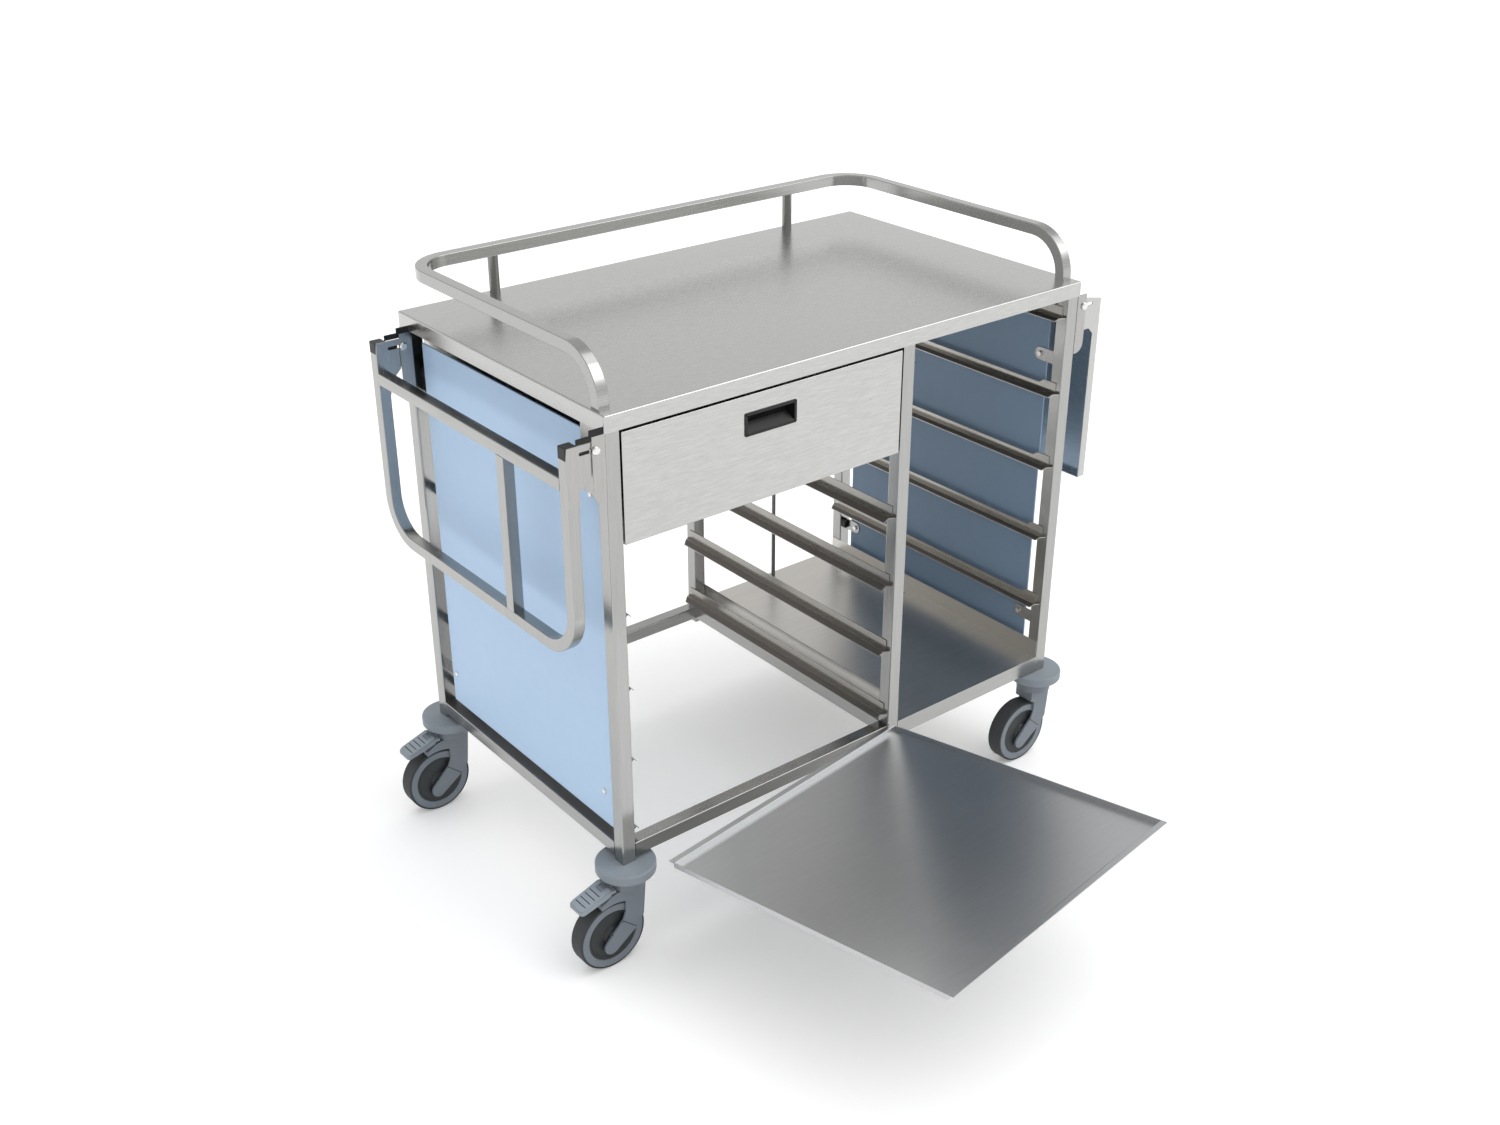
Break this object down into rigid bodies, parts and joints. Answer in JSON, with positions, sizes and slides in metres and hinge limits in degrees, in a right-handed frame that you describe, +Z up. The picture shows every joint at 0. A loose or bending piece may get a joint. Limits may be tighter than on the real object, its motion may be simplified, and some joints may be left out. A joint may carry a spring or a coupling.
{
  "type": "food distribution trolley",
  "caption": "Stainless steel food distribution trolley with gallery rail, drawer, bays of tray runners, folding end flaps, blue end panels and braked swivel casters.",
  "frame": {"origin": "on the floor under the middle of the worktop", "axes": "+X towards the folding sheet shelf, -Y towards the drawer front, +Z up"},
  "size_m": [1.1495, 1.2565, 1.0485],
  "materials": {
    "stainless_sheet": "brushed",
    "stainless_tube": "satin",
    "folded_steel": "satin",
    "tray_steel": "satin",
    "bright_steel": "polished",
    "blue_panel": "matte",
    "black_plastic": "matte",
    "caster_plastic": "matte",
    "tyre_grey": "matte",
    "hub_plastic": "matte"
  },
  "bodies": {
    "frame": {"worktop": "stainless_sheet", "bottom_shelf": "stainless_sheet", "top_rails": "stainless_tube", "gallery_rail": "stainless_tube", "gallery_posts": "stainless_tube", "front_left_post": "stainless_tube", "rear_left_post": "stainless_tube", "front_mid_post": "stainless_tube", "rear_mid_post": "stainless_tube", "front_right_post": "stainless_tube", "rear_right_post": "stainless_tube", "front_rail": "stainless_tube", "rear_rail": "stainless_tube", "left_rail": "stainless_tube", "divider_rail": "stainless_tube", "right_rail": "stainless_tube", "left_side_panel": "blue_panel", "right_side_panel": "blue_panel", "panel_tabs": "folded_steel", "drawer_outer_slides": "folded_steel", "hinge_brackets": "folded_steel", "left_bay_runners": "folded_steel", "right_bay_runners": "folded_steel", "panel_screws": "bright_steel", "hinge_pins": "bright_steel", "caster_stems": "bright_steel", "stop_rod": "bright_steel", "panel_clip": "black_plastic", "hinge_buffers": "black_plastic", "bumper_discs": "caster_plastic"},
    "drawer": {"drawer_front": "stainless_sheet", "drawer_box": "stainless_sheet", "drawer_handle": "black_plastic", "drawer_inner_slides": "folded_steel"},
    "left_flap": {"left_flap_frame": "stainless_tube", "left_flap_crossbar": "stainless_tube", "left_flap_bar": "stainless_tube", "left_flap_caps": "black_plastic", "left_flap_hinge_plates": "folded_steel"},
    "right_flap": {"right_flap_shelf": "stainless_sheet"},
    "tray": {"tray": "tray_steel"},
    "front_left_caster": {"front_left_caster_fork": "caster_plastic", "front_left_caster_axle": "bright_steel"},
    "front_left_wheel": {"front_left_wheel_tyre": "tyre_grey", "front_left_wheel_hub": "hub_plastic"},
    "rear_left_caster": {"rear_left_caster_fork": "caster_plastic", "rear_left_caster_axle": "bright_steel"},
    "rear_left_wheel": {"rear_left_wheel_tyre": "tyre_grey", "rear_left_wheel_hub": "hub_plastic"},
    "front_right_caster": {"front_right_caster_fork": "caster_plastic", "front_right_caster_axle": "bright_steel"},
    "front_right_wheel": {"front_right_wheel_tyre": "tyre_grey", "front_right_wheel_hub": "hub_plastic"},
    "rear_right_caster": {"rear_right_caster_fork": "caster_plastic", "rear_right_caster_axle": "bright_steel"},
    "rear_right_wheel": {"rear_right_wheel_tyre": "tyre_grey", "rear_right_wheel_hub": "hub_plastic"},
    "front_left_pedal": {"front_left_brake_pedal": "caster_plastic"},
    "rear_left_pedal": {"rear_left_brake_pedal": "caster_plastic"}
  },
  "joints": [
    {"name": "drawer_slide", "type": "slide", "parent": "frame", "child": "drawer", "axis": [0, -1, 0], "range_m": [0, 0.42]},
    {"name": "left_flap_hinge", "type": "hinge", "parent": "frame", "child": "left_flap", "pos_m": [-0.514, 0, 0.9155], "axis": [0, 1, 0], "range_deg": [0, 90]},
    {"name": "right_flap_hinge", "type": "hinge", "parent": "frame", "child": "right_flap", "pos_m": [0.514, 0, 0.9155], "axis": [0, -1, 0], "range_deg": [0, 90]},
    {"name": "tray_slide", "type": "slide", "parent": "frame", "child": "tray", "axis": [0.1297, -0.9851, 0.1132], "range_m": [0, 0.4]},
    {"name": "front_left_swivel", "type": "hinge", "parent": "frame", "child": "front_left_caster", "pos_m": [-0.485, -0.285, 0.17], "axis": [0, 0, 1], "continuous": true},
    {"name": "front_left_roll", "type": "hinge", "parent": "front_left_caster", "child": "front_left_wheel", "pos_m": [-0.525, -0.285, 0.0625], "axis": [0, 1, 0], "continuous": true},
    {"name": "rear_left_swivel", "type": "hinge", "parent": "frame", "child": "rear_left_caster", "pos_m": [-0.485, 0.285, 0.17], "axis": [0, 0, 1], "continuous": true},
    {"name": "rear_left_roll", "type": "hinge", "parent": "rear_left_caster", "child": "rear_left_wheel", "pos_m": [-0.525, 0.285, 0.0625], "axis": [0, 1, 0], "continuous": true},
    {"name": "front_right_swivel", "type": "hinge", "parent": "frame", "child": "front_right_caster", "pos_m": [0.485, -0.285, 0.17], "axis": [0, 0, 1], "continuous": true},
    {"name": "front_right_roll", "type": "hinge", "parent": "front_right_caster", "child": "front_right_wheel", "pos_m": [0.445, -0.285, 0.0625], "axis": [0, 1, 0], "continuous": true},
    {"name": "rear_right_swivel", "type": "hinge", "parent": "frame", "child": "rear_right_caster", "pos_m": [0.485, 0.285, 0.17], "axis": [0, 0, 1], "continuous": true},
    {"name": "rear_right_roll", "type": "hinge", "parent": "rear_right_caster", "child": "rear_right_wheel", "pos_m": [0.445, 0.285, 0.0625], "axis": [0, 1, 0], "continuous": true},
    {"name": "front_left_brake", "type": "hinge", "parent": "front_left_caster", "child": "front_left_pedal", "pos_m": [-0.534, -0.285, 0.1495], "axis": [0, -1, 0], "range_deg": [0, 10]},
    {"name": "rear_left_brake", "type": "hinge", "parent": "rear_left_caster", "child": "rear_left_pedal", "pos_m": [-0.534, 0.285, 0.1495], "axis": [0, -1, 0], "range_deg": [0, 10]}
  ]
}
